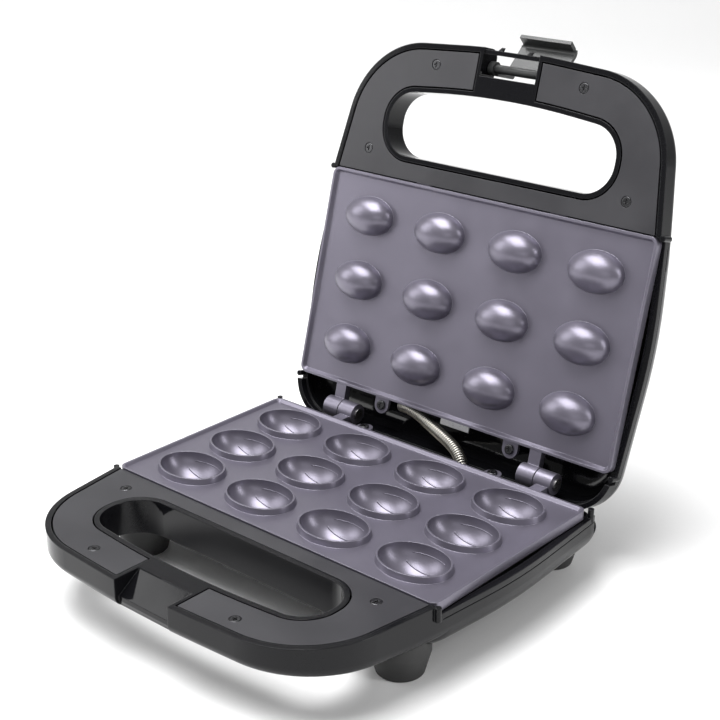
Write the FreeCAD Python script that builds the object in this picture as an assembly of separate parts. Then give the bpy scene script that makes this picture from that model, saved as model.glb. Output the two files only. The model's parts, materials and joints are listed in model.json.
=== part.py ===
import FreeCAD, Part
from collections import namedtuple
import math
import os

# A hinged twin-plate maker for nut-shaped cakes, in millimetres.
# +X is to the right seen from the handle, +Y towards the hinge, +Z up.
# The two halves are designed closed on each other: the lower plate's lip lies at z = 0.
# Each half is drawn hanging down from its own parting face. The upper half is that drawing
# mirrored, and is then swung open about the hinge, which is how the maker stands at rest.

# ---- plates ----
PLATE_WIDTH = 220.0
PLATE_DEPTH = 125.2
PLATE_CORNER_R = 4.5
PLATE_EDGE = 5.0            # height of the plate's outer edge
PLATE_FLOOR = 2.5           # thickness of the cooking face
PLATE_GAP = 0.5             # gap between the two lips when closed
LIP_WIDTH = 1.4
LIP_SLOPE = 1.4             # how far the lip's inner wall slopes in
EDGE_WALL = 3.0             # width of the edge around the plate's back
LOWER_RECESS = 1.5          # cooking face below the lip
UPPER_RECESS = 2.0
HALF_WIDTH = PLATE_WIDTH / 2
PLATE_FRONT_Y = -PLATE_DEPTH / 2
PLATE_REAR_Y = PLATE_DEPTH / 2

# ---- nut moulds ----
COLUMNS = 4
ROWS = 3
PITCH_X = 51.8
PITCH_Y = 38.3
CUP_HALF_LENGTH = 19.4
CUP_HALF_WIDTH = 14.6
CUP_DEPTH = 13.8
CUP_RIM_HEIGHT = 1.8        # rim above the lower plate's lip
CUP_RIM_WIDTH = 0.9
CUP_RIM_FLARE = 1.0
CUP_WALL = 2.0
SEAM_LINE_WIDTH = 0.5
SEAM_LINE_HEIGHT = 0.4
SEAM_LINE_LENGTH = 22.0
SEAM_OFFSET = 7.7           # the two floor seams from the cup's middle
DOME_HALF_LENGTH = 17.0
DOME_HALF_WIDTH = 11.5
DOME_HEIGHT = 11.2
DOME_WALL = 2.6

# ---- hinge ----
HINGE_BACK = 13.9           # axis behind the plates' rear edge
HINGE_DROP = 1.1            # axis below the lower lip
HINGE_X = HALF_WIDTH - 40.0  # middle of each hinge from the centre line
OPEN_ANGLE = 105.0
KNUCKLE_R = 6.0
KNUCKLE_LENGTH = 10.7
KNUCKLE_GAP = 0.3
LUG_WIDTH = 7.3
LUG_INSET = 1.3             # lug's outer side from the knuckle's end
LUG_HEIGHT = 4.6
PIN_R = 2.5
PIN_RUNNING_FIT = 0.06      # radial
PIN_PRESSED_FIT = 0.02      # radial
PIN_HEAD_R = PIN_R + 0.9
PIN_HEAD = 1.2

# ---- housings ----
FRONT_Y = PLATE_FRONT_Y - 82.2  # front of the handle on the centre line
HANDLE_CORNER = (HALF_WIDTH - 10.5, FRONT_Y + 6.5)
HANDLE_CORNER_R = 50.0
SHOULDER = (HALF_WIDTH + 1.3, PLATE_FRONT_Y + 2.6)
SHOULDER_R = 150.0
FLANK = (HALF_WIDTH + 6.6, -5.0)
FLANK_R = 300.0
REAR_CORNER = (HALF_WIDTH + 0.5, PLATE_REAR_Y + 25.4)
REAR_CORNER_R = 26.0
FRONT_R = 500.0
WALL = 3.0
HANDLE_END_Y = PLATE_FRONT_Y + 16.6  # the handle's slab ends inside the body
HANDLE_EDGE_R = 5.5
BODY_FRONT_Y = PLATE_FRONT_Y - 11.4
BODY_CORNER_R = 24.0
FACE_DROP = 0.6             # handle face below the lip
SIDE_DROP = 5.5             # side rims below the lip
RIM_WIDTH = 4.0
RIM_HEIGHT = 3.0
BASE_REAR_DROP = 16.5       # the base's rear wall stays under the open lid
REAR_STEP_Y = PLATE_REAR_Y + 5.4
GROOVE = 0.5
GROOVE_DROP = 3.0
NUB_R = 1.6
NUB_PROUD = 0.4             # nub's middle beyond the outline's corner
NUB_FOOT = 8.0              # nub's foot below the parting face

# ---- handle ----
SLOT_REAR_Y = PLATE_FRONT_Y - 13.9
SLOT_FRONT_Y = FRONT_Y + 26.0
SLOT_CORNER_Y = SLOT_FRONT_Y + 7.3
SLOT_HALF_WIDTH = HALF_WIDTH - 33.8
SLOT_R = 17.0
SLOT_LIP = 2.7
SEAM = 0.9
PANEL_THICKNESS = 2.2
PANEL_DROP = 0.1            # panel below the handle face
PANEL_EDGE_GAP = 0.8        # panel to plate
NOTCH_HALF_WIDTH = 18.4
NOTCH_REAR_Y = FRONT_Y + 17.0
NOTCH_BORDER = 2.0
CATCH_Y = FRONT_Y + 3.8
CATCH_DROP = 10.4
CATCH_THICKNESS = 2.4
CATCH_HOOK_DROP = 15.8      # underside of the bar that the latch hooks under
CATCH_DEPTH = 4.0
LID_BAR = (FRONT_Y + 2.4, FRONT_Y + 4.9)  # reach in Y of the bar across the lid's notch
LID_BAR_DROP = (1.5, 4.1)
LID_EAR_X = 9.5
LID_EAR_TIP = (FRONT_Y + 0.2, 6.2)
LID_EAR_WIDTH = 2.4

# ---- screws ----
SCREW_R = 1.35
SCREW_HEAD_R = 2.8
SCREW_HEAD = 1.5
SCREW_LENGTH = 8.5
SCREW_GAP = 0.12            # radial play round a screw's shank
HEAD_GAP = 0.25             # radial play round a screw's head
BOSS_R = 3.8
FACE_GAP = 0.05             # play between stacked faces
PANEL_SCREWS = ((HALF_WIDTH - 23.0, PLATE_FRONT_Y - 14.4), (49.0, FRONT_Y + 14.8))
EAR_X = 46.0
EAR_REACH = 4.9             # ear screw from the plate's edge
EAR_R = 5.0
EAR_THICKNESS = 2.0
REAR_EAR_DROP = 2.5
FRONT_EAR_DROP = 4.6
EAR_HEAD = 1.3

# ---- heaters ----
ELEMENT_R = 3.25
ELEMENT_BEND_X = HALF_WIDTH - 29.25
ELEMENT_END_X = 18.0 - HALF_WIDTH
ELEMENT_PIN_R = 1.2
ELEMENT_PIN = 5.0
TRAY_HALF_WIDTH = HALF_WIDTH - 5.7
TRAY_CORNER_R = 10.0
TRAY_HALF_DEPTH = PLATE_REAR_Y - 4.6
TRAY_BELOW_CUPS = 4.0
TRAY_DROP = CUP_DEPTH + CUP_WALL - CUP_RIM_HEIGHT + TRAY_BELOW_CUPS
TRAY_SHEET = 0.8
TRAY_TOP = 6.0
TRAY_TAB = (-5.0, 15.0)     # reach in X of the tab behind the upper plate
TRAY_TAB_REACH = 9.5
TRAY_SCREW_X = PITCH_X       # between two columns of moulds
TRAY_BOSS_R = 3.4
THERMOSTAT_R = 7.3
THERMOSTAT_HEIGHT = 6.5
THERMOSTAT_PAD_R = 5.0
THERMOSTAT_PAD = 4.0
FUSE_R = 2.5
FUSE_LENGTH = 20.0
FUSE_DROP = TRAY_DROP - FUSE_R - 1.0

# ---- latch ----
LATCH_PIVOT = (FRONT_Y + 11.8, 10.7)  # y and z with the lid closed
LATCH_PIN_R = 2.5
LATCH_KNUCKLE_R = LATCH_PIN_R + 1.4
LATCH_KNUCKLE_LENGTH = 3.5
LATCH_SHEET = 2.2
LATCH_HALF_WIDTH = NOTCH_HALF_WIDTH - 0.4
LATCH_LEG = 5.2             # width of the legs beside the window
LATCH_LEG_ANGLE = 213.0     # heading of the latched legs from the pivot, from +Y
LATCH_PLATE_Y = FRONT_Y - 3.1  # front of the latched plate
LATCH_FOOT_Z = -18.8        # underside of the latched hook
LATCH_BEND_R = 4.0
LATCH_LIP_Y = FRONT_Y + 5.8  # the latched hook's inner end
LATCH_LIP_HALF_WIDTH = LATCH_HALF_WIDTH - 1.0
LATCH_SWING = 123.0         # from latched to fully open
LATCH_RUNNING_FIT = 0.08

# ---- feet and floor ----
FOOT_X = HALF_WIDTH - 20.0
FRONT_FOOT_Y = PLATE_FRONT_Y - 0.4
REAR_FOOT_X = HALF_WIDTH - 26.0
REAR_FOOT_Y = PLATE_REAR_Y + 7.4
FOOT_TOP_R = 15.0
FOOT_BOTTOM_R = 11.8
FLOOR_DROP = 42.6           # floor below the lower lip
FOOT_BORE_R = 3.6
FOOT_TAPER = 12.0           # height of the foot's tapered part
FOOT_HEIGHT = 26.0
FOOT_BORE_DEPTH = 12.5

# ---- cord inlet ----
INLET_X = 32.0
INLET_DROP = 21.5
INLET_BOSS_R = 5.2
INLET_REACH = 4.0
BUSH_R = 3.8
BUSH_FLANGE_R = 5.0
BUSH_FLANGE = 1.6
BUSH_BORE_R = 3.1
BUSH_GAP = 0.1
TERMINAL_BLOCK = (26.0, 12.0, 9.0)
TERMINAL_BLOCK_POS = (-14.0, PLATE_REAR_Y + 6.4)

# ---- pilot lamps ----
LAMP_X = 9.0
LAMP_Y = -38.0
LENS_R = 4.0
LENS_BORE_R = 2.7
LENS_STEM = 2.0
LENS_FLANGE_R = 5.2
LENS_FLANGE = 1.0
LENS_PROUD = 1.6
LENS_CAP = 2.0              # bottom of the stem's bore above the lid's outer face
LAMP_R = 2.5
LAMP_LENGTH = 3.0

# ---- sprung lead between the halves ----
SLEEVE_R = 3.7
SLEEVE_BORE_R = 2.9
LEADS_R = 2.6
# The sleeve's route with the lid open, from inside the lid to inside the base.
SLEEVE_ROUTE = (
    (-37.5, 91.5, 5.5),
    (-28.0, 89.0, 7.8),
    (-5.0, 83.0, 2.3),
    (14.0, 78.0, -2.0),
    (24.0, 71.0, -9.5),
    (30.0, 68.0, -18.5),
)

HINGE_Y = PLATE_DEPTH / 2 + HINGE_BACK
HINGE_Z = -HINGE_DROP
REACH = 400.0               # larger than the whole maker
SIDES = (-1, 1)

# A housing half: the handle's depth at its front and at its slot's rear wall, and the
# body's depth and edge radius.
Half = namedtuple("Half", "handle_front handle_rear body edge_r")
BASE = Half(15.5, 20.2, TRAY_DROP + 9.0, 13.0)
LID = Half(14.3, 15.5, TRAY_DROP + 7.0, 17.0)


# ------------------------------------------------------------------ helpers

def point(x, y, z=0.0):
    return FreeCAD.Vector(x, y, z)


def rounded_path(corners, radii, closed=True):
    """Straight runs joined by tangent arcs. A radius of 0 leaves a corner sharp."""
    count = len(corners)
    ends = []
    for i in range(count):
        corner = corners[i]
        if radii[i] <= 0 or (not closed and i in (0, count - 1)):
            ends.append((corner, None, corner))
            continue
        back = (corners[i - 1] - corner).normalize()
        ahead = (corners[(i + 1) % count] - corner).normalize()
        half = back.getAngle(ahead) / 2
        middle = (back + ahead).normalize()
        tangent = radii[i] / math.tan(half)
        crown = corner + middle * (radii[i] / math.sin(half) - radii[i])
        ends.append((corner + back * tangent, crown, corner + ahead * tangent))
    edges = []
    for i in range(count):
        start, crown, finish = ends[i]
        if crown is not None:
            edges.append(Part.Arc(start, crown, finish).toShape())
        if i == count - 1 and not closed:
            break
        following = ends[(i + 1) % count][0]
        if (following - finish).Length > 1e-4:
            edges.append(Part.LineSegment(finish, following).toShape())
    return Part.Wire(edges)


def route_radii(corners):
    """The largest arcs that a cord's runs allow."""
    radii = [0.0]
    for before, corner, after in zip(corners, corners[1:], corners[2:]):
        turn = (corner - before).getAngle(after - corner)
        shorter = min((corner - before).Length, (after - corner).Length)
        radii.append(0.45 * shorter / math.tan(turn / 2))
    return radii + [0.0]


def tube_along(path, radius):
    start = path.Edges[0].valueAt(path.Edges[0].FirstParameter)
    heading = path.Edges[0].tangentAt(path.Edges[0].FirstParameter)
    section = Part.Wire(Part.Circle(start, heading, radius).toShape())
    return path.makePipeShell([section], True, True)


def prism(wire, top, bottom):
    face = Part.Face(wire)
    face.translate(point(0, 0, bottom))
    return face.extrude(point(0, 0, top - bottom))


def block(x0, x1, y0, y1, z0, z1):
    return Part.makeBox(x1 - x0, y1 - y0, z1 - z0, point(x0, y0, z0))


def rod(radius, length, base, heading):
    return Part.makeCylinder(radius, length, base, heading)


def post(radius, x, y, bottom, top):
    return rod(radius, top - bottom, point(x, y, bottom), point(0, 0, 1))


def across(radius, x0, x1, y, z):
    return rod(radius, x1 - x0, point(x0, y, z), point(1, 0, 0))


def ellipsoid(centre, half_x, half_y, half_z):
    ball = Part.makeSphere(1.0)
    stretch = FreeCAD.Matrix()
    stretch.A11, stretch.A22, stretch.A33 = half_x, half_y, half_z
    shape = ball.transformGeometry(stretch)
    shape.translate(centre)
    return shape


def ellipse_wire(half_x, half_y, x, y, z):
    curve = Part.Ellipse(point(x, y, z), half_x, half_y)
    return Part.Wire(curve.toShape())


def joined(shapes):
    shapes = list(shapes)
    return shapes[0].multiFuse(shapes[1:]).removeSplitter()


def inset_wire(wire, inset):
    if inset == 0:
        return wire
    return Part.Face(wire).makeOffset2D(-inset).OuterWire


def to_upper(shape):
    """Turns a half drawn hanging from its parting face into the closed lid's half."""
    return shape.mirror(point(0, 0, PLATE_GAP / 2), point(0, 0, 1))


def opened(shape):
    """Swings a piece of the closed lid to where it stands at rest."""
    turned = shape.copy()
    turned.rotate(point(0, HINGE_Y, HINGE_Z), point(1, 0, 0), -OPEN_ANGLE)
    return turned


# ------------------------------------------------------------------ screws

def screw(x, y, top, head_height=SCREW_HEAD, length=SCREW_LENGTH):
    """A pan-head cross-recess screw standing upright, its head's crown at top."""
    head = post(SCREW_HEAD_R, x, y, top - head_height, top)
    crown = [edge for edge in head.Edges if edge.Closed and edge.BoundBox.ZMin > top - 0.01]
    head = head.makeFillet(0.5, crown)
    shank = post(SCREW_R, x, y, top - head_height - length, top - head_height)
    cross = joined(
        block(x - a, x + a, y - b, y + b, top - 0.9, top + 1)
        for a, b in ((1.5, 0.35), (0.35, 1.5))
    )
    return head.fuse(shank).cut(cross)


def boss(x, y, top, form, radius=BOSS_R):
    """A screw boss that stands on the housing's floor, with its pilot hole."""
    column = post(radius, x, y, -REACH / 4, top)
    hole = post(SCREW_R + SCREW_GAP, x, y, top - SCREW_LENGTH - 1, top)
    return column.common(form).cut(hole)


# ------------------------------------------------------------------ housings

def housing_outline():
    right = [HANDLE_CORNER, SHOULDER, FLANK, REAR_CORNER]
    radii = [HANDLE_CORNER_R, SHOULDER_R, FLANK_R, REAR_CORNER_R]
    corners = [point(0, FRONT_Y)] + [point(x, y) for x, y in right]
    corners += [point(-x, y) for x, y in reversed(right)]
    return rounded_path(corners, [FRONT_R] + radii + radii[::-1])


def lower_edges(shape, level):
    """The edges round the shape's underside."""
    return [edge for edge in shape.Edges if edge.BoundBox.ZMax < level]


def handle_form(half, inset):
    """The handle's slab, which thickens a little towards the body."""
    column = prism(inset_wire(housing_outline(), inset), 0, -REACH / 4)
    front = FRONT_Y - 1
    corners = [
        point(-REACH / 2, front, 0),
        point(-REACH / 2, front, inset - half.handle_front),
        point(-REACH / 2, SLOT_REAR_Y, inset - half.handle_rear),
        point(-REACH / 2, HANDLE_END_Y, inset - half.handle_rear),
        point(-REACH / 2, HANDLE_END_Y, 0),
    ]
    side = Part.Face(Part.makePolygon(corners + corners[:1]))
    slab = column.common(side.extrude(point(REACH, 0, 0)))
    underside = lower_edges(slab, inset - half.handle_front + 0.1)
    rim = [edge for edge in underside if edge.BoundBox.YLength > 0.5]
    return slab.makeFillet(HANDLE_EDGE_R - inset, rim)


def body_form(half, inset):
    """The deeper body behind the handle, rounded all the way round its underside."""
    column = prism(inset_wire(housing_outline(), inset), 0, inset - half.body)
    body = column.common(block(-REACH, REACH, BODY_FRONT_Y + inset, REACH, -REACH, 0))
    corners = [
        edge for edge in body.Edges
        if edge.BoundBox.ZLength > 5 and abs(edge.BoundBox.YMax - BODY_FRONT_Y - inset) < 0.01
    ]
    body = body.makeFillet(BODY_CORNER_R - inset, corners)
    return body.makeFillet(half.edge_r - inset, lower_edges(body, inset - half.body + 0.01))


def housing_form(half, inset):
    """The housing's full outer form, or the hollow inside a wall of the given inset."""
    return handle_form(half, inset).fuse(body_form(half, inset))


def slot_outline():
    right = [(SLOT_HALF_WIDTH, SLOT_CORNER_Y), (SLOT_HALF_WIDTH, SLOT_REAR_Y)]
    corners = [point(0, SLOT_FRONT_Y)] + [point(x, y) for x, y in right]
    corners += [point(-x, y) for x, y in reversed(right)]
    return rounded_path(corners, [FRONT_R] + [SLOT_R] * 4)


def slot_prism(outset):
    return prism(inset_wire(slot_outline(), -outset), 1, -REACH / 4)


def notch_surround(gap=0.0):
    half = NOTCH_HALF_WIDTH + NOTCH_BORDER + gap
    return block(-half, half, FRONT_Y - 1, SLOT_FRONT_Y + SLOT_LIP + gap, -REACH / 4, 1)


def side_rim():
    """The band round the top of the housing's sides, outside the plate."""
    outer = prism(housing_outline(), -SIDE_DROP, -SIDE_DROP - RIM_HEIGHT)
    inner = prism(inset_wire(housing_outline(), RIM_WIDTH), 0, -REACH / 4)
    return outer.cut(inner).cut(block(-REACH, REACH, -REACH, PLATE_FRONT_Y, -REACH, 1))


def trim_groove():
    top = -SIDE_DROP - GROOVE_DROP
    outer = prism(inset_wire(housing_outline(), -1), top, top - GROOVE)
    inner = prism(inset_wire(housing_outline(), GROOVE), 0, -REACH / 4)
    kept = block(-REACH, REACH, PLATE_FRONT_Y + 4, REACH, -REACH, 1)
    return outer.cut(inner).common(kept)


def rim_nubs():
    """Rounded posts where the handle's face and the side rims end."""
    spots = [(SHOULDER[0], PLATE_FRONT_Y), (REAR_CORNER[0], REAR_STEP_Y - 2 * NUB_R)]
    return [
        post(NUB_R, side * (x + NUB_PROUD), y, -NUB_FOOT, -FACE_DROP)
        for x, y in spots
        for side in SIDES
    ]


def housing_shell(half, rear_drop):
    form = housing_form(half, 0)
    hollow = housing_form(half, WALL).cut(slot_prism(SLOT_LIP)).cut(notch_surround())
    shell = form.cut(hollow).cut(slot_prism(0))
    notch = block(-NOTCH_HALF_WIDTH, NOTCH_HALF_WIDTH, FRONT_Y - 1, NOTCH_REAR_Y, -REACH, 1)
    shell = shell.cut(notch)
    shell = joined([shell, side_rim()] + [nub.common(block(-REACH, REACH, -REACH, REACH, -REACH, 0))
                                          for nub in rim_nubs()])
    bosses = [
        boss(side * x, y, -FACE_DROP - PANEL_DROP - PANEL_THICKNESS - FACE_GAP, form)
        for x, y in PANEL_SCREWS
        for side in SIDES
    ]
    for side in SIDES:
        for y, drop in ear_places():
            bosses.append(boss(side * EAR_X, y, -drop - EAR_THICKNESS - FACE_GAP, form))
    shell = joined([shell] + bosses)
    levels = [
        block(-REACH, REACH, -REACH, REACH, -FACE_DROP, REACH),
        block(-REACH, REACH, REAR_STEP_Y, REACH, -rear_drop, REACH),
        trim_groove(),
    ]
    sides = block(-REACH, REACH, PLATE_FRONT_Y, REAR_STEP_Y, -SIDE_DROP, REACH)
    for nub in rim_nubs():
        sides = sides.cut(nub)
    for piece in levels + [sides]:
        shell = shell.cut(piece)
    return shell


def ear_places():
    """Y and drop of the plate's rear and front ears."""
    return (
        (PLATE_REAR_Y + EAR_REACH, REAR_EAR_DROP),
        (PLATE_FRONT_Y - EAR_REACH, FRONT_EAR_DROP),
    )


def side_profile(corners, half_width):
    """A profile in the YZ plane, drawn out to both sides of the centre line."""
    ring = [point(0, y, z) for y, z in corners]
    face = Part.Face(Part.makePolygon(ring + ring[:1]))
    face.translate(point(-half_width, 0, 0))
    return face.extrude(point(2 * half_width, 0, 0))


def catch_floor():
    """The base's sloping notch floor, which ends in the bar that the latch hooks under."""
    rear = NOTCH_REAR_Y + 1
    return side_profile([
        (rear, -FACE_DROP),
        (CATCH_Y, -CATCH_DROP),
        (CATCH_Y, -CATCH_DROP - CATCH_THICKNESS),
        (CATCH_Y + 1, -CATCH_HOOK_DROP),
        (CATCH_Y + CATCH_DEPTH, -CATCH_HOOK_DROP),
        (CATCH_Y + CATCH_DEPTH, -CATCH_DROP),
        (rear, -FACE_DROP - 2 * CATCH_THICKNESS),
    ], NOTCH_HALF_WIDTH + 1)


def lid_bar():
    """The bar across the lid's notch, with two pointed ears."""
    front, rear = LID_BAR
    low, high = LID_BAR_DROP
    half = NOTCH_HALF_WIDTH + 1
    bar = block(-half, half, front, rear, -high, -low)
    tip_y, tip_drop = LID_EAR_TIP
    ear = side_profile([(rear, -high + 1), (front, -high + 1), (tip_y, -tip_drop),
                        (front + 1, -high - 1)], LID_EAR_WIDTH / 2)
    pair = [ear.copy(), ear.copy()]
    for side, piece in zip(SIDES, pair):
        piece.translate(point(side * LID_EAR_X, 0, 0))
    return [bar] + pair


def feet_places():
    return {
        "front_left": (-FOOT_X, FRONT_FOOT_Y),
        "front_right": (FOOT_X, FRONT_FOOT_Y),
        "rear_left": (-REAR_FOOT_X, REAR_FOOT_Y),
        "rear_right": (REAR_FOOT_X, REAR_FOOT_Y),
    }


def base_shell():
    shell = housing_shell(BASE, BASE_REAR_DROP)
    form = housing_form(BASE, 0)
    screw_end = -FLOOR_DROP + FOOT_BORE_DEPTH + SCREW_LENGTH
    bosses = [
        post(BOSS_R, x, y, -REACH / 4, screw_end + 3).common(form)
        for x, y in feet_places().values()
    ]
    rear = REAR_CORNER[1] + INLET_REACH
    inlet = rod(INLET_BOSS_R, 16, point(INLET_X, rear - 16, -INLET_DROP), point(0, 1, 0))
    shell = joined([shell, catch_floor(), inlet] + bosses)
    for x, y in feet_places().values():
        shell = shell.cut(post(SCREW_R + SCREW_GAP, x, y, -REACH / 4, screw_end + 1))
    bore = rod(BUSH_R + BUSH_GAP, 30, point(INLET_X, rear - 29, -INLET_DROP), point(0, 1, 0))
    room = rod(INLET_BOSS_R + 1, 14, point(INLET_X, rear - 24, -INLET_DROP), point(0, 1, 0))
    return shell.cut(bore).cut(room.common(housing_form(BASE, WALL)))


def lid_shell():
    shell = joined([housing_shell(LID, FACE_DROP)] + lid_bar())
    pivot_y, pivot_z = LATCH_PIVOT
    half = NOTCH_HALF_WIDTH + NOTCH_BORDER + 1
    shell = shell.cut(across(LATCH_PIN_R + FACE_GAP, -half, half, pivot_y, PLATE_GAP - pivot_z))
    for side in SIDES:
        shell = shell.cut(post(LENS_R + FACE_GAP, side * LAMP_X, LAMP_Y, -REACH / 4, -LID.body / 2))
    return opened(to_upper(shell))


def handle_panel():
    top = -FACE_DROP - PANEL_DROP
    outline = inset_wire(housing_outline(), WALL + SEAM)
    panel = prism(outline, top, top - PANEL_THICKNESS)
    front = block(-REACH, REACH, -REACH, PLATE_FRONT_Y - PANEL_EDGE_GAP, -REACH, REACH)
    panel = panel.common(front).cut(slot_prism(SLOT_LIP + SEAM)).cut(notch_surround(SEAM))
    for x, y in PANEL_SCREWS:
        for side in SIDES:
            panel = panel.cut(post(SCREW_R + SCREW_GAP, side * x, y, -REACH, 0))
            panel = panel.cut(post(SCREW_HEAD_R + HEAD_GAP, side * x, y, top - SCREW_HEAD, 0))
    return panel


def panel_screws():
    top = -FACE_DROP - PANEL_DROP
    return Part.makeCompound([
        screw(side * x, y, top) for x, y in PANEL_SCREWS for side in SIDES
    ])


# ------------------------------------------------------------------ plates

def mould_centres():
    for row in range(ROWS):
        for column in range(COLUMNS):
            x = (column - (COLUMNS - 1) / 2) * PITCH_X
            y = (row - (ROWS - 1) / 2) * PITCH_Y
            yield x, y


def rounded_rectangle(inset, z):
    half_x = PLATE_WIDTH / 2 - inset
    half_y = PLATE_DEPTH / 2 - inset
    corners = [point(a * half_x, b * half_y, z) for a, b in ((-1, -1), (1, -1), (1, 1), (-1, 1))]
    return rounded_path(corners, [max(PLATE_CORNER_R - inset, 1.0)] * 4)


def plate_blank(recess):
    """A plate without moulds: its edge, its sloping lip and its recessed face."""
    blank = prism(rounded_rectangle(0, 0), 0, -PLATE_EDGE)
    rims = [rounded_rectangle(LIP_WIDTH, 0), rounded_rectangle(LIP_WIDTH + LIP_SLOPE, -recess)]
    blank = blank.cut(Part.makeLoft(rims, True, True))
    back = prism(rounded_rectangle(EDGE_WALL, 0), -recess - PLATE_FLOOR, -REACH)
    return blank.cut(back)


def ears():
    shapes = []
    for y, drop in ear_places():
        inward = -math.copysign(EAR_REACH + 1.5, y)
        low, high = sorted((y, y + inward))
        for side in SIDES:
            x = side * EAR_X
            shapes.append(post(EAR_R, x, y, -drop - EAR_THICKNESS, -drop))
            shapes.append(block(x - EAR_R, x + EAR_R, low, high, -drop - EAR_THICKNESS, -drop))
    return shapes


def ear_holes():
    return [
        post(SCREW_R + SCREW_GAP, side * EAR_X, y, -REACH / 4, 1)
        for y, _ in ear_places()
        for side in SIDES
    ]


def ear_screws():
    return Part.makeCompound([
        screw(side * EAR_X, y, -drop + EAR_HEAD, EAR_HEAD)
        for y, drop in ear_places()
        for side in SIDES
    ])


def knuckle_spans(outer_side):
    """X ranges of one plate's two knuckles. Each plate has the same side of both hinges."""
    for centre in (-HINGE_X, HINGE_X):
        near = centre + outer_side * KNUCKLE_GAP
        far = near + outer_side * KNUCKLE_LENGTH
        yield min(near, far), max(near, far)


def hinge_lugs(outer_side, axis_z, lug_top, fit):
    """Knuckles and the lugs that carry them; axis_z is measured from the plate's own lip."""
    shapes = []
    holes = []
    for start, end in knuckle_spans(outer_side):
        shapes.append(across(KNUCKLE_R, start, end, HINGE_Y, axis_z))
        lug_start = start + (LUG_INSET if outer_side < 0 else KNUCKLE_LENGTH - LUG_INSET - LUG_WIDTH)
        shapes.append(block(lug_start, lug_start + LUG_WIDTH, PLATE_REAR_Y - 2, HINGE_Y,
                            lug_top - LUG_HEIGHT, lug_top))
        holes.append(across(PIN_R + fit, start - 1, end + 1, HINGE_Y, axis_z))
    return shapes, holes


def element_drop(recess):
    return recess + PLATE_FLOOR + ELEMENT_R + FACE_GAP


def back_bosses(recess):
    """Bosses on a plate's back for the reflector's screws, and the thermostat's pad."""
    back = -recess - PLATE_FLOOR + 0.5
    shapes = [
        post(TRAY_BOSS_R, side * TRAY_SCREW_X, 0, -TRAY_DROP + FACE_GAP, back) for side in SIDES
    ]
    return shapes + [post(THERMOSTAT_PAD_R, 0, 0, back - 0.5 - THERMOSTAT_PAD, back)]


def boss_holes():
    return [
        post(SCREW_R + SCREW_GAP, side * TRAY_SCREW_X, 0, -REACH / 4, -TRAY_DROP + SCREW_LENGTH)
        for side in SIDES
    ]


def cup_outside(x, y):
    """A cup's wall below the plate and its rim, which stands above the lip."""
    top = CUP_RIM_HEIGHT
    shell = ellipsoid(point(x, y, top), CUP_HALF_LENGTH + CUP_WALL, CUP_HALF_WIDTH + CUP_WALL,
                      CUP_DEPTH + CUP_WALL)
    shell = shell.common(block(x - 40, x + 40, y - 40, y + 40, -40, -LOWER_RECESS - 0.5))
    wide = CUP_RIM_WIDTH + CUP_RIM_FLARE
    rims = [
        ellipse_wire(CUP_HALF_LENGTH + CUP_RIM_WIDTH, CUP_HALF_WIDTH + CUP_RIM_WIDTH, x, y, top),
        ellipse_wire(CUP_HALF_LENGTH + wide, CUP_HALF_WIDTH + wide, x, y, -LOWER_RECESS - 0.5),
    ]
    return [shell, Part.makeLoft(rims, True, True)]


def cup_inside(x, y):
    return ellipsoid(point(x, y, CUP_RIM_HEIGHT), CUP_HALF_LENGTH, CUP_HALF_WIDTH, CUP_DEPTH)


def cup_seams(x, y):
    """Two fine raised lines along a cup's floor, the seams of the moulded nut."""
    ring = ellipsoid(point(x, y, CUP_RIM_HEIGHT), CUP_HALF_LENGTH + 0.5, CUP_HALF_WIDTH + 0.5,
                     CUP_DEPTH + 0.5)
    ring = ring.cut(ellipsoid(point(x, y, CUP_RIM_HEIGHT), CUP_HALF_LENGTH - SEAM_LINE_HEIGHT,
                              CUP_HALF_WIDTH - SEAM_LINE_HEIGHT, CUP_DEPTH - SEAM_LINE_HEIGHT))
    half = SEAM_LINE_LENGTH / 2
    lines = []
    for side in SIDES:
        middle = y + side * SEAM_OFFSET
        lines.append(ring.common(block(x - half, x + half, middle - SEAM_LINE_WIDTH / 2,
                                       middle + SEAM_LINE_WIDTH / 2, -REACH, 0)))
    return lines


def lower_plate():
    shapes = [plate_blank(LOWER_RECESS)]
    for x, y in mould_centres():
        shapes += cup_outside(x, y)
    lugs, holes = hinge_lugs(1, HINGE_Z, -PLATE_EDGE + LUG_HEIGHT - 0.6, PIN_PRESSED_FIT)
    plate = joined(shapes + lugs + ears() + back_bosses(LOWER_RECESS))
    for x, y in mould_centres():
        plate = plate.cut(cup_inside(x, y))
    for hole in holes + ear_holes() + boss_holes():
        plate = plate.cut(hole)
    for x, y in mould_centres():
        plate = plate.multiFuse(cup_seams(x, y))
    return plate


def upper_plate():
    face = -UPPER_RECESS
    shapes = [plate_blank(UPPER_RECESS)]
    for x, y in mould_centres():
        dome = ellipsoid(point(x, y, face), DOME_HALF_LENGTH, DOME_HALF_WIDTH, DOME_HEIGHT)
        shapes.append(dome.common(block(x - 40, x + 40, y - 40, y + 40, face - 0.5, 40)))
    lugs, holes = hinge_lugs(-1, PLATE_GAP - HINGE_Z, -0.2, PIN_RUNNING_FIT)
    plate = joined(shapes + lugs + ears() + back_bosses(UPPER_RECESS))
    for x, y in mould_centres():
        hollow = ellipsoid(point(x, y, face), DOME_HALF_LENGTH - DOME_WALL,
                           DOME_HALF_WIDTH - DOME_WALL, DOME_HEIGHT - DOME_WALL)
        under = prism(ellipse_wire(DOME_HALF_LENGTH - DOME_WALL, DOME_HALF_WIDTH - DOME_WALL,
                                   x, y, 0), face, -PLATE_EDGE - 1)
        plate = plate.cut(hollow).cut(under)
    for hole in holes + ear_holes() + boss_holes():
        plate = plate.cut(hole)
    return plate


# ------------------------------------------------------------------ heaters

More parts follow.
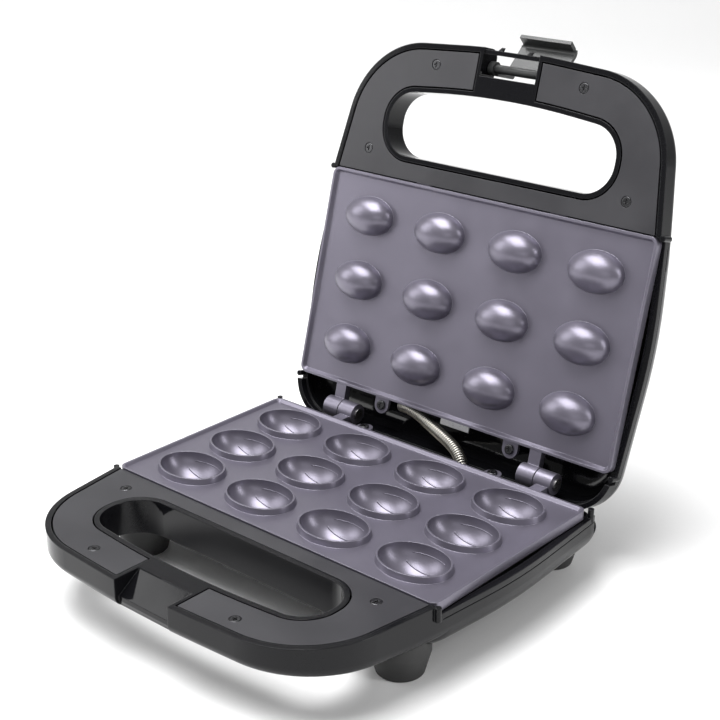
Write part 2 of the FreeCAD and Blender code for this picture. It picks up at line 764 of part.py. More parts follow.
def heating_element(recess):
    """A sheathed U-shaped element, which runs between the rows of moulds."""
    drop = -element_drop(recess)
    bend = PITCH_Y / 2
    corner = ELEMENT_BEND_X + bend
    corners = [
        point(ELEMENT_END_X, -bend, drop),
        point(corner, -bend, drop),
        point(corner, bend, drop),
        point(ELEMENT_END_X, bend, drop),
    ]
    sheath = tube_along(rounded_path(corners, [0, bend * 0.999, bend * 0.999, 0], False), ELEMENT_R)
    pins = [
        across(ELEMENT_PIN_R, ELEMENT_END_X - ELEMENT_PIN, ELEMENT_END_X + 1, side * bend, drop)
        for side in SIDES
    ]
    return joined([sheath] + pins)


def reflector(with_tab):
    """The bright tray that shields the housing from the plate's heat."""
    bottom = -TRAY_DROP - TRAY_SHEET
    outer = block(-TRAY_HALF_WIDTH, TRAY_HALF_WIDTH, -TRAY_HALF_DEPTH, TRAY_HALF_DEPTH,
                  bottom, -TRAY_TOP)
    upright = [edge for edge in outer.Edges if edge.BoundBox.ZLength > 5]
    outer = outer.makeFillet(TRAY_CORNER_R, upright)
    inner = block(-TRAY_HALF_WIDTH + TRAY_SHEET, TRAY_HALF_WIDTH - TRAY_SHEET,
                  -TRAY_HALF_DEPTH + TRAY_SHEET, TRAY_HALF_DEPTH - TRAY_SHEET, -TRAY_DROP, 0)
    upright = [edge for edge in inner.Edges if edge.BoundBox.ZLength > 5]
    tray = outer.cut(inner.makeFillet(TRAY_CORNER_R - TRAY_SHEET, upright))
    if with_tab:
        low, high = TRAY_TAB
        tray = tray.fuse(block(low, high, TRAY_HALF_DEPTH - TRAY_SHEET,
                               TRAY_HALF_DEPTH + TRAY_TAB_REACH, -TRAY_TOP - TRAY_SHEET, -TRAY_TOP))
    for side in SIDES:
        tray = tray.cut(post(SCREW_R + SCREW_GAP, side * TRAY_SCREW_X, 0, -REACH, 0))
    return tray


def reflector_screws():
    shapes = []
    for side in SIDES:
        upright = screw(side * TRAY_SCREW_X, 0, TRAY_DROP + TRAY_SHEET + SCREW_HEAD,
                        length=SCREW_LENGTH - 1.5)
        shapes.append(upright.mirror(point(0, 0, 0), point(0, 0, 1)))
    return Part.makeCompound(shapes)


def thermostat(recess):
    top = -recess - PLATE_FLOOR - THERMOSTAT_PAD - FACE_GAP
    bottom = top - THERMOSTAT_HEIGHT
    body = post(THERMOSTAT_R, 0, 0, bottom, top)
    blades = [block(side * 3.5 - 0.4, side * 3.5 + 0.4, -3, 3, bottom - 2.5, bottom + 1)
              for side in SIDES]
    return joined([body] + blades)


def thermal_fuse():
    y = PITCH_Y / 2 - FUSE_LENGTH / 2
    return rod(FUSE_R, FUSE_LENGTH, point(-TRAY_SCREW_X, y + 12, -FUSE_DROP), point(0, 1, 0))


# ------------------------------------------------------------------ hinge, latch, feet, inlet

def hinge_pin(centre):
    reach = KNUCKLE_GAP + KNUCKLE_LENGTH
    shaft = across(PIN_R, centre - reach - 0.5, centre + reach + FACE_GAP, HINGE_Y, HINGE_Z)
    head = across(PIN_HEAD_R, centre + reach + FACE_GAP, centre + reach + FACE_GAP + PIN_HEAD,
                  HINGE_Y, HINGE_Z)
    return shaft.fuse(head)


def latch_pin():
    half = NOTCH_HALF_WIDTH + NOTCH_BORDER - 0.3
    pivot_y, pivot_z = LATCH_PIVOT
    return opened(across(LATCH_PIN_R, -half, half, pivot_y, pivot_z))


def latch_clip():
    """A C-shaped clip on two knuckles. It is drawn latched, and then swung open."""
    pivot_y, pivot_z = LATCH_PIVOT
    lean = math.radians(LATCH_LEG_ANGLE)
    along = point(0, math.cos(lean), math.sin(lean))
    outward = point(0, math.sin(lean), -math.cos(lean))
    root = point(0, pivot_y, pivot_z)
    tangent = root + outward * LATCH_KNUCKLE_R
    reach = (LATCH_PLATE_Y - tangent.y) / along.y
    shoulder = tangent + along * reach
    foot_z = LATCH_FOOT_Z
    half = LATCH_HALF_WIDTH
    corners = [
        point(-half, tangent.y, tangent.z),
        point(-half, shoulder.y, shoulder.z),
        point(-half, LATCH_PLATE_Y, foot_z),
        point(-half, LATCH_LIP_Y, foot_z),
    ]
    outer = rounded_path(corners, [0, LATCH_BEND_R / 2, LATCH_BEND_R, 0], False)
    sheet = outer.makeOffset2D(-LATCH_SHEET, 0, True, True, False).extrude(point(2 * half, 0, 0))
    window = half - LATCH_LEG
    sheet = sheet.cut(block(-window, window, -REACH, REACH, shoulder.z - LATCH_SHEET, REACH))
    trimmed = half - LATCH_LIP_HALF_WIDTH
    for side in SIDES:
        near, far = sorted((side * half, side * (half - trimmed)))
        sheet = sheet.cut(block(near, far, LATCH_PLATE_Y + LATCH_SHEET, REACH,
                                foot_z - 1, foot_z + LATCH_SHEET + 0.5))
    knuckles = []
    for side in SIDES:
        start = min(side * half, side * (half - LATCH_KNUCKLE_LENGTH))
        knuckles.append(across(LATCH_KNUCKLE_R, start, start + LATCH_KNUCKLE_LENGTH,
                               pivot_y, pivot_z))
    clip = joined([sheet] + knuckles)
    clip = clip.cut(across(LATCH_PIN_R + LATCH_RUNNING_FIT, -half - 1, half + 1, pivot_y, pivot_z))
    clip.rotate(root, point(1, 0, 0), -LATCH_SWING)
    return opened(clip)


def foot(x, y):
    """A rubber foot, tapered below and shaped to the housing above, bored for its screw."""
    floor = -FLOOR_DROP
    cone = Part.makeCone(FOOT_BOTTOM_R, FOOT_TOP_R, FOOT_TAPER, point(x, y, floor))
    sole = [edge for edge in cone.Edges if edge.Closed and edge.BoundBox.ZMax < floor + 0.1]
    cone = cone.makeFillet(1.0, sole)
    barrel = post(FOOT_TOP_R, x, y, floor + FOOT_TAPER, floor + FOOT_HEIGHT)
    rubber = cone.fuse(barrel).cut(housing_form(BASE, 0))
    rubber = rubber.cut(post(FOOT_BORE_R, x, y, -REACH, floor + FOOT_BORE_DEPTH))
    return rubber.cut(post(SCREW_R + SCREW_GAP, x, y, -REACH, 0))


def foot_screws():
    shapes = []
    for x, y in feet_places().values():
        upright = screw(x, y, FLOOR_DROP - FOOT_BORE_DEPTH + SCREW_HEAD)
        shapes.append(upright.mirror(point(0, 0, 0), point(0, 0, 1)))
    return Part.makeCompound(shapes)


def cord_bush():
    """The rubber bush that lines the cord's inlet."""
    rear = REAR_CORNER[1] + INLET_REACH
    along = point(0, 1, 0)
    body = rod(BUSH_R, 8, point(INLET_X, rear - 8, -INLET_DROP), along)
    flange = rod(BUSH_FLANGE_R, BUSH_FLANGE, point(INLET_X, rear + FACE_GAP, -INLET_DROP), along)
    throat = rod(BUSH_R, 1, point(INLET_X, rear - 0.5, -INLET_DROP), along)
    bore = rod(BUSH_BORE_R, 20, point(INLET_X, rear - 12, -INLET_DROP), along)
    return joined([body, flange, throat]).cut(bore)


def terminal_block():
    width, depth, height = TERMINAL_BLOCK
    x, y = TERMINAL_BLOCK_POS
    floor = -BASE.body + WALL + FACE_GAP
    return block(x - width / 2, x + width / 2, y - depth / 2, y + depth / 2,
                 floor, floor + height)


def lens(side):
    """A pilot lens: a low crown outside the lid, and a stem that holds its lamp."""
    x = side * LAMP_X
    face = -LID.body
    flange_low = face + WALL + FACE_GAP
    crown = ellipsoid(point(x, LAMP_Y, face + 0.5), LENS_R, LENS_R, LENS_PROUD + 0.5)
    crown = crown.common(block(x - 9, x + 9, LAMP_Y - 9, LAMP_Y + 9, -REACH, face + 0.5))
    stem = post(LENS_R, x, LAMP_Y, face + 0.5, flange_low + LENS_STEM)
    flange = post(LENS_FLANGE_R, x, LAMP_Y, flange_low, flange_low + LENS_FLANGE)
    bore = post(LENS_BORE_R, x, LAMP_Y, face + LENS_CAP, flange_low + LENS_STEM + 1)
    return joined([crown, stem, flange]).cut(bore)


def pilot_lamps():
    bottom = -LID.body + LENS_CAP + 0.4
    return Part.makeCompound([
        post(LAMP_R, side * LAMP_X, LAMP_Y, bottom, bottom + LAMP_LENGTH) for side in SIDES
    ])


# ------------------------------------------------------------------ sprung lead

def sleeve_path():
    corners = [point(*spot) for spot in SLEEVE_ROUTE]
    radii = route_radii(corners)
    print("sleeve radii", [round(radius, 1) for radius in radii[1:-1]])
    return rounded_path(corners, radii, False)


def spring_sleeve():
    path = sleeve_path()
    sleeve = tube_along(path, SLEEVE_R).cut(tube_along(path, SLEEVE_BORE_R))
    section = math.pi * (SLEEVE_R ** 2 - SLEEVE_BORE_R ** 2)
    print("sleeve length", round(path.Length, 1), "volume ratio",
          round(sleeve.Volume / (section * path.Length), 4))
    return sleeve


def link_leads():
    return tube_along(sleeve_path(), LEADS_R)


# ------------------------------------------------------------------ the maker

def upper(shape):
    return opened(to_upper(shape))


def build():
    parts = {
        "base_shell": base_shell(),
        "base_handle_panel": handle_panel(),
        "base_panel_screws": panel_screws(),
        "lower_plate": lower_plate(),
        "lower_plate_screws": ear_screws(),
        "lower_heating_element": heating_element(LOWER_RECESS),
        "lower_reflector": reflector(False),
        "lower_reflector_screws": reflector_screws(),
        "thermostat": thermostat(LOWER_RECESS),
        "lower_thermal_fuse": thermal_fuse(),
        "terminal_block": terminal_block(),
        "cord_bush": cord_bush(),
        "foot_screws": foot_screws(),
        "hinge_pin_left": hinge_pin(-HINGE_X),
        "hinge_pin_right": hinge_pin(HINGE_X),
        "lid_shell": lid_shell(),
        "lid_handle_panel": upper(handle_panel()),
        "lid_panel_screws": upper(panel_screws()),
        "upper_plate": upper(upper_plate()),
        "upper_plate_screws": upper(ear_screws()),
        "upper_heating_element": upper(heating_element(UPPER_RECESS)),
        "upper_reflector": upper(reflector(True)),
        "upper_reflector_screws": upper(reflector_screws()),
        "upper_thermal_fuse": upper(thermal_fuse()),
        "power_lens": upper(lens(-1)),
        "ready_lens": upper(lens(1)),
        "pilot_lamps": upper(pilot_lamps()),
        "latch_pin": latch_pin(),
        "latch_clip": latch_clip(),
        "spring_sleeve": spring_sleeve(),
        "link_leads": link_leads(),
    }
    for name, (x, y) in feet_places().items():
        parts["foot_" + name] = foot(x, y)
    return parts


def footprint_centre(parts):
    """The point under the maker's middle on the surface that it stands on."""
    boxes = [shape.optimalBoundingBox(True, False) for shape in parts.values()]
    low = min(box.YMin for box in boxes)
    high = max(box.YMax for box in boxes)
    return point(0, (low + high) / 2, min(box.ZMin for box in boxes))


def main():
    os.makedirs("parts", exist_ok=True)
    parts = build()
    origin = footprint_centre(parts)
    print("origin", origin)
    for name, shape in parts.items():
        shape.translate(-origin)
        shape.exportStep("parts/" + name + ".step")
        print(name, len(shape.Solids), shape.isValid(), round(shape.Volume / 1000, 2))


main()
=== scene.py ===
"""Looks of the nut-shaped cake maker: studio, camera, materials and the fine pieces."""
import json
import math

import bpy
from mathutils import Matrix, Vector


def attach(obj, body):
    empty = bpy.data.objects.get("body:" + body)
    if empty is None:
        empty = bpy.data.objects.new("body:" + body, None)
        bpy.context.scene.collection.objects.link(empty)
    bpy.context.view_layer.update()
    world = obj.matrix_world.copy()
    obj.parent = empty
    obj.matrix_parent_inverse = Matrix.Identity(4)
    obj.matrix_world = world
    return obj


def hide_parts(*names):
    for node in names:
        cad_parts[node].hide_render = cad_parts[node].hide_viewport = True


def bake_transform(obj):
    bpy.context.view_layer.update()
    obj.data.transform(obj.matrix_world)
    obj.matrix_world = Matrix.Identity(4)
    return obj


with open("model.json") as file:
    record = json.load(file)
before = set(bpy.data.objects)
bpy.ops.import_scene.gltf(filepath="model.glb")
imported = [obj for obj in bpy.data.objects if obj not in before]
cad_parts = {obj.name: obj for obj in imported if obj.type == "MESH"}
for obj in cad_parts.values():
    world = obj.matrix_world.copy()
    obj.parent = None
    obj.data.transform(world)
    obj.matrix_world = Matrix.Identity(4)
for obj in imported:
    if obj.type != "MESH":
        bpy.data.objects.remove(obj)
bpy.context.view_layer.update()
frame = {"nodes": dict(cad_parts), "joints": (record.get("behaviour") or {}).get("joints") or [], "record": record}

MM = 0.001

# ---- camera, measured from the middle of the lower plate's lip ----
CAMERA_AT = Vector((471.7, -529.5, 357.0)) * MM
CAMERA_TARGET = Vector((-56.39, 75.72, 34.2)) * MM
CAMERA_LENS = 74.83             # mm
CAMERA_SENSOR = 36.0            # mm
CAMERA_ROLL = math.radians(0.06)

# ---- places taken from the frame ----
HINGE = Vector(next(j for j in frame["joints"] if j["name"] == "lid_hinge")["pos_m"])
HINGE_BACK = 76.5 * MM          # hinge axis behind the middle of the plates
HINGE_DROP = 1.1 * MM           # hinge axis below the lower plate's lip
PLATE_CENTRE = HINGE + Vector((0, -HINGE_BACK, HINGE_DROP))

# ---- moulds, in millimetres but for SEAM_R ----
COLUMNS = 4
ROWS = 3
PITCH_X = 51.8
PITCH_Y = 38.3
CUP_HALF_LENGTH = 19.4
CUP_HALF_WIDTH = 14.6
CUP_DEPTH = 13.8
CUP_RIM_HEIGHT = 1.8
SEAM_DEPTH = 4.9                # the wall seam below the rim
SEAM_HALF_LENGTH = 10.0
SEAM_STEPS = 14
SEAM_SIDES = 6
SEAM_R = 0.22 * MM

# ---- sprung lead ----
SLEEVE_R = 3.7 * MM
WIRE_R = 0.6 * MM
COIL_PITCH = 1.5 * MM
COIL_STEPS = 14                 # points per turn
WIRE_SIDES = 6
LEADS_R = 2.5 * MM              # both leads in their cover
LEADS_SIDES = 12
LINE_STEPS = 40                 # points between two corners of the route
SLEEVE_ROUTE = (
    (-37.5, 91.5, 5.5),
    (-28.0, 89.0, 7.8),
    (-5.0, 83.0, 2.3),
    (14.0, 78.0, -2.0),
    (24.0, 71.0, -9.5),
    (30.0, 68.0, -18.5),
)


# ---- shader nodes ----
MIX_FIRST = 6                   # the Mix node's colour sockets, which share names with its others
MIX_SECOND = 7
MIX_RESULT = 2
BEVEL_SAMPLES = 6
NONSTICK_EDGE_R = 0.35 * MM

# ---- studio, in metres and watts ----
LIGHT_TARGET = (0, 0.05, 0.1)
LIGHTS = (
    # name, place, (width, height), power
    ("key_top", (-0.35, -0.25, 1.7), (1.5, 1.1), 48),
    ("left_soft", (-1.5, -0.9, 0.9), (0.9, 1.3), 15),
    ("right_strip", (1.7, 0.35, 0.8), (0.4, 1.5), 13),
    ("front_fill", (0.9, -1.8, 0.9), (1.4, 0.7), 3),
)
WORLD_STRENGTH = 0.35
FLOOR_HALF_WIDTH = 6.0
FLOOR_FRONT = -3.0
FLOOR_BACK = 2.6
FLOOR_BEND = 1.2                # radius between the floor and the wall behind
FLOOR_BEND_STEPS = 12
WALL_HEIGHT = 3.0
FLOOR_TURN = math.radians(41)   # the wall faces the camera


# ------------------------------------------------------------------ shader helpers

class Shader:
    """A node material, with short calls that add and join its nodes."""

    def __init__(self, name):
        self.material = bpy.data.materials.new(name)
        self.material.use_nodes = True
        self.tree = self.material.node_tree
        self.surface = self.tree.nodes["Principled BSDF"]
        self.place = self.add("ShaderNodeTexCoord").outputs["Object"]

    def add(self, kind, settings=None, **inputs):
        """A new node. An input's name has _ for each space."""
        node = self.tree.nodes.new(kind)
        for name, value in (settings or {}).items():
            setattr(node, name, value)
        for name, value in inputs.items():
            self.feed(node, name.replace("_", " "), value)
        return node

    def join(self, socket, value):
        """Links value to the socket, or sets it there when it isn't a socket itself."""
        if isinstance(value, bpy.types.NodeSocket):
            self.tree.links.new(value, socket)
        else:
            socket.default_value = value

    def feed(self, node, name, value):
        self.join(node.inputs[name], value)

    def set(self, **inputs):
        """Values or sockets for the Principled BSDF."""
        for name, value in inputs.items():
            self.feed(self.surface, name.replace("_", " "), value)

    def noise(self, scale, detail=4.0, stretch=(1, 1, 1)):
        """Noise from 0 to 1. scale is in cells per metre."""
        mapping = self.add("ShaderNodeMapping", Vector=self.place, Scale=stretch)
        return self.add("ShaderNodeTexNoise", Vector=mapping.outputs["Vector"],
                        Scale=scale, Detail=detail).outputs["Fac"]

    def cells(self, scale):
        """Small round cells, 0 at the middle of each."""
        return self.add("ShaderNodeTexVoronoi", Vector=self.place, Scale=scale).outputs["Distance"]

    def between(self, factor, low, high, start=0.0, end=1.0):
        """A number that goes from low to high as factor goes from start to end."""
        node = self.add("ShaderNodeMapRange", Value=factor)
        for name, value in (("From Min", start), ("From Max", end), ("To Min", low), ("To Max", high)):
            node.inputs[name].default_value = value
        return node.outputs["Result"]

    def tint(self, factor, first, second):
        """A colour that goes from first to second with factor."""
        node = self.add("ShaderNodeMix", {"data_type": "RGBA"})
        self.feed(node, "Factor", factor)
        for place, colour in ((MIX_FIRST, first), (MIX_SECOND, second)):
            plain = not isinstance(colour, bpy.types.NodeSocket)
            self.join(node.inputs[place], (*colour, 1.0) if plain else colour)
        return node.outputs[MIX_RESULT]

    def math(self, operation, a, b=0.0):
        """One sum of two numbers or sockets."""
        node = self.add("ShaderNodeMath", {"operation": operation})
        self.join(node.inputs[0], a)
        self.join(node.inputs[1], b)
        return node.outputs["Value"]

    def rounded(self, radius):
        """The surface's normal with its edges softened over radius."""
        return self.add("ShaderNodeBevel", {"samples": BEVEL_SAMPLES}, Radius=radius).outputs["Normal"]

    def edges(self, radius, sharpness=6.0):
        """1 along the edges and 0 on the faces."""
        soft = self.rounded(radius)
        true = self.add("ShaderNodeNewGeometry").outputs["Normal"]
        dot = self.add("ShaderNodeVectorMath", {"operation": "DOT_PRODUCT"})
        self.tree.links.new(soft, dot.inputs[0])
        self.tree.links.new(true, dot.inputs[1])
        away = self.math("SUBTRACT", 1.0, dot.outputs["Value"])
        return self.math("MULTIPLY", away, sharpness)

    def relief(self, height, depth, normal=None, strength=1.0):
        """The surface's normal with a bump of that depth on top."""
        node = self.add("ShaderNodeBump", Height=height, Distance=depth, Strength=strength)
        if normal is not None:
            self.feed(node, "Normal", normal)
        return node.outputs["Normal"]


# ------------------------------------------------------------------ materials

def glossy_plastic(name, colour, low=0.10, high=0.22, radius=0.7 * MM):
    """Polished black moulding: faint flow waves, dust and slightly rubbed edges, whose lighter colour is also a
    painted edge highlight.
    """
    s = Shader(name)
    waves = s.noise(14, 2)
    dust = s.noise(900, 6)
    rub_and_edge_highlight = s.edges(radius)
    patch = s.between(s.noise(45, 5), low, high, 0.35, 0.7)
    worn_and_highlit_edge = s.math("MULTIPLY", rub_and_edge_highlight, 0.12)
    lighter = tuple(channel * 2.2 + 0.01 for channel in colour)
    # The colour is lightened by dust and along the edges; the lighter edges are rubbed wear and a painted edge
    # highlight.
    pale = s.math("ADD", s.math("MULTIPLY", dust, 0.25), rub_and_edge_highlight)
    s.set(Base_Color=s.tint(s.between(pale, 0, 0.7), colour, lighter),
          Roughness=s.math("ADD", patch, worn_and_highlit_edge),
          Specular_IOR_Level=0.2)
    fine = s.relief(dust, 0.012 * MM, s.rounded(radius))
    s.set(Normal=s.relief(waves, 0.25 * MM, fine, 0.5))
    return s.material


def satin_plastic(name, colour, low=0.32, high=0.46, radius=0.35 * MM, texture=2600):
    """Fine spark-eroded moulding texture with rubbed edges and faint handling marks; the edges' lighter colour is
    also a painted edge highlight.
    """
    s = Shader(name)
    pits = s.cells(texture)
    handled = s.noise(26, 5)
    rub_and_edge_highlight = s.edges(radius)
    lighter = tuple(channel * 1.7 + 0.015 for channel in colour)
    # The colour is lightened by handling marks and along the edges; the lighter edges are rubbed wear and a
    # painted edge highlight.
    marks_and_edge_highlight = s.math("ADD", s.between(handled, 0.0, 0.5, 0.3, 0.75), rub_and_edge_highlight)
    s.set(Base_Color=s.tint(marks_and_edge_highlight, colour, lighter),
          Roughness=s.between(handled, low, high, 0.3, 0.7))
    s.set(Normal=s.relief(pits, 0.03 * MM, s.rounded(radius)))
    return s.material


def nonstick(name):
    """Sprayed coating on cast aluminium: fine orange peel and mica, with cloudy sheen, and paler edges that are
    rubbed wear and a painted edge highlight.
    """
    s = Shader(name)
    cloud = s.noise(20, 4)
    peel = s.noise(1500, 2)
    mica = s.between(s.cells(5200), 1.0, 0.0, 0.02, 0.16)
    rub_and_edge_highlight = s.edges(NONSTICK_EDGE_R)
    dark, pale = (0.15, 0.14, 0.178), (0.19, 0.178, 0.222)
    # fleck is the mica colour; the second colour is painted on the edges, as rubbed coating and as a painted edge
    # highlight.
    fleck, worn_and_highlit_edge = (0.42, 0.40, 0.46), (0.36, 0.35, 0.40)
    flecked = s.tint(s.math("MULTIPLY", mica, 0.35), s.tint(cloud, dark, pale), fleck)
    # The edges are painted paler: rubbed coating and a painted highlight along the rims and edges.
    s.set(Base_Color=s.tint(s.math("MULTIPLY", rub_and_edge_highlight, 0.5), flecked, worn_and_highlit_edge),
          Metallic=0.65,
          Roughness=s.between(s.noise(60, 5), 0.31, 0.40, 0.3, 0.7))
    s.set(Normal=s.relief(peel, 0.02 * MM, s.rounded(NONSTICK_EDGE_R)))
    return s.material


def steel(name, colour, low=0.2, high=0.4, stretch=(1, 1, 1)):
    """Plated or drawn metal with fine scratches and tarnish."""
    s = Shader(name)
    tarnish = s.noise(70, 5)
    scratch = s.noise(1800, 3, stretch)
    dark = tuple(channel * 0.62 for channel in colour)
    s.set(Base_Color=s.tint(tarnish, dark, colour), Metallic=1.0,
          Roughness=s.between(scratch, low, high, 0.3, 0.7))
    s.set(Normal=s.relief(scratch, 0.015 * MM, s.rounded(0.2 * MM)))
    return s.material


def soft_rubber(name, colour):
    """Matt rubber or silicone with a faint bloom."""
    s = Shader(name)
    bloom = s.noise(120, 6)
    lighter = tuple(channel * 1.8 + 0.01 for channel in colour)
    s.set(Base_Color=s.tint(bloom, colour, lighter),
          Roughness=s.between(bloom, 0.55, 0.8))
    s.set(Normal=s.relief(s.noise(2500, 3), 0.04 * MM, s.rounded(0.5 * MM)))
    return s.material


def ceramic(name):
    """Unglazed off-white ceramic with a fine grain."""
    s = Shader(name)
    grain = s.noise(700, 6)
    s.set(Base_Color=s.tint(grain, (0.62, 0.58, 0.52), (0.80, 0.77, 0.70)),
          Roughness=s.between(grain, 0.35, 0.6))
    s.set(Normal=s.relief(grain, 0.05 * MM))
    return s.material


def clear_plastic(name, colour):
    """Tinted lens with a moulded prism grain."""
    s = Shader(name)
    prisms = s.cells(900)
    lighter = tuple(min(1, channel * 1.4 + 0.03) for channel in colour)
    s.set(Base_Color=s.tint(prisms, colour, lighter),
          Transmission_Weight=0.6,
          Roughness=s.between(s.noise(300, 3), 0.06, 0.16))
    s.set(Normal=s.relief(prisms, 0.08 * MM, s.rounded(0.3 * MM)))
    return s.material


def floor_paper(name):
    """Near-white studio paper with a faint fibre."""
    s = Shader(name)
    fibre = s.noise(400, 6)
    s.set(Base_Color=s.tint(fibre, (0.90, 0.90, 0.90), (0.93, 0.93, 0.93)),
          Roughness=s.between(fibre, 0.5, 0.65))
    s.set(Normal=s.relief(fibre, 0.02 * MM))
    return s.material


MATERIALS = {
    "housing_black": glossy_plastic("housing_black", (0.004, 0.004, 0.005), 0.05, 0.12),
    "panel_black": satin_plastic("panel_black", (0.018, 0.0175, 0.021)),
    "nonstick": nonstick("nonstick"),
    "dark_screw": steel("dark_screw", (0.10, 0.10, 0.105), 0.18, 0.35),
    "bright_steel": steel("bright_steel", (0.62, 0.61, 0.60)),
    "element_sheath": steel("element_sheath", (0.34, 0.31, 0.28), 0.4, 0.6),
    "foil_steel": steel("foil_steel", (0.74, 0.74, 0.75), 0.25, 0.4),
    "latch_black": satin_plastic("latch_black", (0.022, 0.023, 0.023), 0.25, 0.4, 0.3 * MM),
    "rubber": soft_rubber("rubber", (0.014, 0.014, 0.014)),
    "sleeve_wire": steel("sleeve_wire", (0.62, 0.60, 0.55), 0.22, 0.4),
    "lead_insulation": soft_rubber("lead_insulation", (0.05, 0.045, 0.04)),
    "ceramic": ceramic("ceramic"),
    "red_lens": clear_plastic("red_lens", (0.62, 0.03, 0.02)),
    "green_lens": clear_plastic("green_lens", (0.04, 0.42, 0.09)),
    "lamp_glass": clear_plastic("lamp_glass", (0.85, 0.82, 0.78)),
}


def repaint_frame():
    """Every CAD node takes the material of its slot in the record."""
    for entry in frame["record"]["subparts"]:
        piece = frame["nodes"][entry["node"]]
        for slot in piece.material_slots:
            slot.material = MATERIALS[entry["material_slot"]]


# ------------------------------------------------------------------ mesh helpers

def design_point(x, y, z):
    """A point measured in millimetres from the middle of the lower plate's lip."""
    return PLATE_CENTRE + Vector((x, y, z)) * MM


def new_piece(name, vertices, faces, slot):
    """A smooth-shaded mesh in that material slot."""
    mesh = bpy.data.meshes.new(name)
    mesh.from_pydata(vertices, [], faces)
    mesh.validate()
    piece = bpy.data.objects.new(name, mesh)
    bpy.context.scene.collection.objects.link(piece)
    mesh.materials.append(MATERIALS[slot])
    mesh.shade_smooth()
    return piece


def smooth_line(route):
    """Points along the NURBS curve that has the route's corners as its control points."""
    curve = bpy.data.curves.new("line", "CURVE")
    curve.dimensions = "3D"
    spline = curve.splines.new("NURBS")
    spline.points.add(len(route) - 1)
    for target, spot in zip(spline.points, route):
        target.co = (*spot, 1.0)
    spline.order_u = 3
    spline.use_endpoint_u = True
    spline.resolution_u = LINE_STEPS
    holder = bpy.data.objects.new("line", curve)
    bpy.context.scene.collection.objects.link(holder)
    mesh = bpy.data.meshes.new_from_object(holder)
    points = [vertex.co.copy() for vertex in mesh.vertices]
    bpy.data.objects.remove(holder)
    bpy.data.meshes.remove(mesh)
    return points


def stations(line):
    """(distance, point, heading) at each point of the line."""
    walked = 0.0
    out = []
    for i, spot in enumerate(line):
        if i:
            walked += (spot - line[i - 1]).length
        ahead = line[min(i + 1, len(line) - 1)] - line[max(i - 1, 0)]
        out.append((walked, spot, ahead.normalized()))
    return out


def place_on(track, distance):
    """(point, heading) at that distance along the stations."""
    for (start, a, da), (end, b, db) in zip(track, track[1:]):
        if distance <= end:
            share = (distance - start) / max(end - start, 1e-9)
            return a.lerp(b, share), da.lerp(db, share).normalized()
    return track[-1][1], track[-1][2]


def tube(name, line, radius, slot, sides):
    """A round tube that follows the line, closed at both ends."""
    vertices, faces = [], []
    side = None
    for _, spot, heading in stations(line):
        reference = side if side is not None else Vector((0, 0, 1))
        side = (reference - heading * reference.dot(heading)).normalized()
        across = heading.cross(side)
        for k in range(sides):
            angle = 2 * math.pi * k / sides
            vertices.append(spot + (side * math.cos(angle) + across * math.sin(angle)) * radius)
    rings = len(vertices) // sides
    for ring in range(rings - 1):
        for k in range(sides):
            a = ring * sides + k
            b = ring * sides + (k + 1) % sides
            faces.append((a, b, b + sides, a + sides))
    faces.append(tuple(reversed(range(sides))))
    faces.append(tuple(range((rings - 1) * sides, rings * sides)))
    return new_piece(name, vertices, faces, slot)


# ------------------------------------------------------------------ mould seams

def seam_line(x, y, side):
    """The fine seam along one wall of a cup."""
    share = math.sqrt(1 - (SEAM_DEPTH / CUP_DEPTH) ** 2)
    half_x, half_y = CUP_HALF_LENGTH * share, CUP_HALF_WIDTH * share
    line = []
    for i in range(SEAM_STEPS + 1):
        along = SEAM_HALF_LENGTH * (2 * i / SEAM_STEPS - 1)
        away = side * half_y * math.sqrt(1 - (along / half_x) ** 2)
        line.append(design_point(x + along, y + away, CUP_RIM_HEIGHT - SEAM_DEPTH))
    return line


def cup_seams():
    """A seam on the rear and the front wall of every cup in the lower plate."""
    for row in range(ROWS):
        for column in range(COLUMNS):
            x = (column - (COLUMNS - 1) / 2) * PITCH_X
            y = (row - (ROWS - 1) / 2) * PITCH_Y
            for side, wall in ((1, "rear"), (-1, "front")):
                name = f"cup_seam_{wall}_{row}_{column}"
                seam = tube(name, seam_line(x, y, side), SEAM_R, "nonstick", SEAM_SIDES)
                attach(seam, "base")


# ------------------------------------------------------------------ sprung lead

def coil_line(track, radius, pitch, steps):
    """A helix of that radius round the stations."""
    length = track[-1][0]
    count = int(length / pitch * steps)
    side = Vector((0, 0, 1))
    out = []
    for i in range(count + 1):
        spot, heading = place_on(track, length * i / count)
        side = (side - heading * side.dot(heading)).normalized()
        across = heading.cross(side)
        angle = 2 * math.pi * i / steps
        out.append(spot + (side * math.cos(angle) + across * math.sin(angle)) * radius)
    return out


def sprung_lead():
    """The coil and the leads inside it, which run from the lid to the base."""
    line = smooth_line([design_point(*spot) for spot in SLEEVE_ROUTE])
    track = stations(line)
    coil = tube("sleeve_coil", coil_line(track, SLEEVE_R - WIRE_R, COIL_PITCH, COIL_STEPS),
                WIRE_R, "sleeve_wire", WIRE_SIDES)
    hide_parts("spring_sleeve")
    bundle = tube("sleeve_leads", line, LEADS_R, "lead_insulation", LEADS_SIDES)
    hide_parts("link_leads")
    for piece in (coil, bundle):
        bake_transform(piece)


# ------------------------------------------------------------------ studio

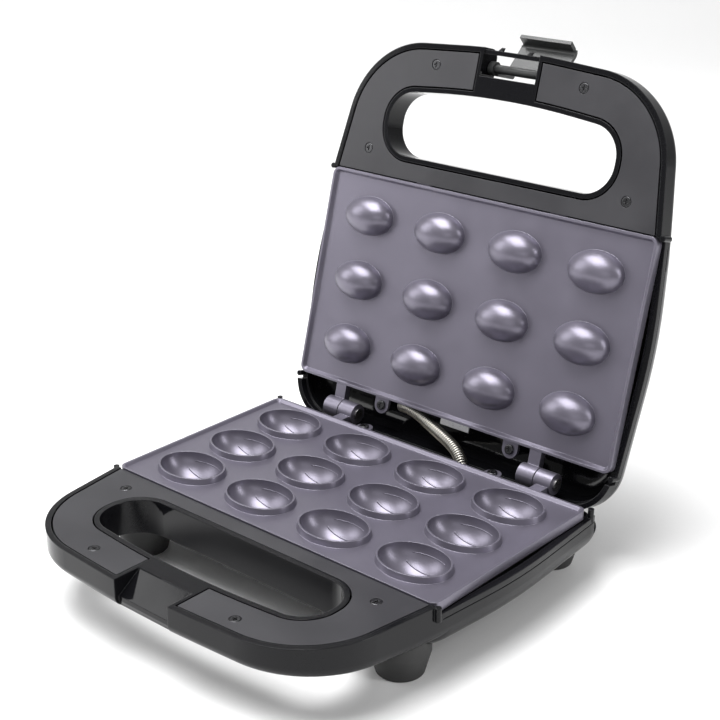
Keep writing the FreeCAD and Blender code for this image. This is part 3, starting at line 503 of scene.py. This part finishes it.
def stage_floor():
    """A pale floor that curves up behind the maker."""
    bend_start = FLOOR_BACK - FLOOR_BEND
    profile = [(FLOOR_FRONT, 0.0), (bend_start, 0.0)]
    for i in range(1, FLOOR_BEND_STEPS + 1):
        angle = math.radians(90 * i / FLOOR_BEND_STEPS)
        rise = FLOOR_BEND - FLOOR_BEND * math.cos(angle)
        profile.append((bend_start + FLOOR_BEND * math.sin(angle), rise))
    profile.append((FLOOR_BACK, WALL_HEIGHT))
    sides = (-FLOOR_HALF_WIDTH, FLOOR_HALF_WIDTH)
    vertices = [(x, y, z) for y, z in profile for x in sides]
    faces = [(2 * i, 2 * i + 1, 2 * i + 3, 2 * i + 2) for i in range(len(profile) - 1)]
    mesh = bpy.data.meshes.new("floor")
    mesh.from_pydata(vertices, [], faces)
    mesh.materials.append(floor_paper("floor_paper"))
    mesh.shade_smooth()
    floor = bpy.data.objects.new("floor", mesh)
    bpy.context.scene.collection.objects.link(floor)
    floor.rotation_euler = (0, 0, FLOOR_TURN)


def area_light(name, at, size, power):
    """A white rectangular light that faces the maker."""
    light = bpy.data.lights.new(name, "AREA")
    light.shape = "RECTANGLE"
    light.size, light.size_y = size
    light.energy = power
    holder = bpy.data.objects.new(name, light)
    holder.location = at
    holder.rotation_euler = (Vector(LIGHT_TARGET) - Vector(at)).to_track_quat("-Z", "Y").to_euler()
    bpy.context.scene.collection.objects.link(holder)


def lights():
    """Four soft lights and an even white surround."""
    for name, at, size, power in LIGHTS:
        area_light(name, at, size, power)
    world = bpy.data.worlds.new("studio")
    world.use_nodes = True
    background = world.node_tree.nodes["Background"]
    background.inputs["Color"].default_value = (1.0, 1.0, 1.0, 1.0)
    background.inputs["Strength"].default_value = WORLD_STRENGTH
    bpy.context.scene.world = world


def tone():
    """Plain display colours, so that a white floor stays white."""
    bpy.context.scene.view_settings.view_transform = "Standard"


def camera():
    """The photograph's viewpoint."""
    data = bpy.data.cameras.new("camera")
    data.sensor_width = CAMERA_SENSOR
    data.lens = CAMERA_LENS
    holder = bpy.data.objects.new("camera", data)
    look = (CAMERA_TARGET - CAMERA_AT).to_track_quat("-Z", "Y").to_matrix().to_4x4()
    roll = Matrix.Rotation(CAMERA_ROLL, 4, "Z")
    holder.matrix_world = Matrix.Translation(PLATE_CENTRE + CAMERA_AT) @ look @ roll
    bpy.context.scene.collection.objects.link(holder)
    bpy.context.scene.camera = holder


# ------------------------------------------------------------------ scene

repaint_frame()
sprung_lead()
cup_seams()
stage_floor()
lights()
tone()
camera()
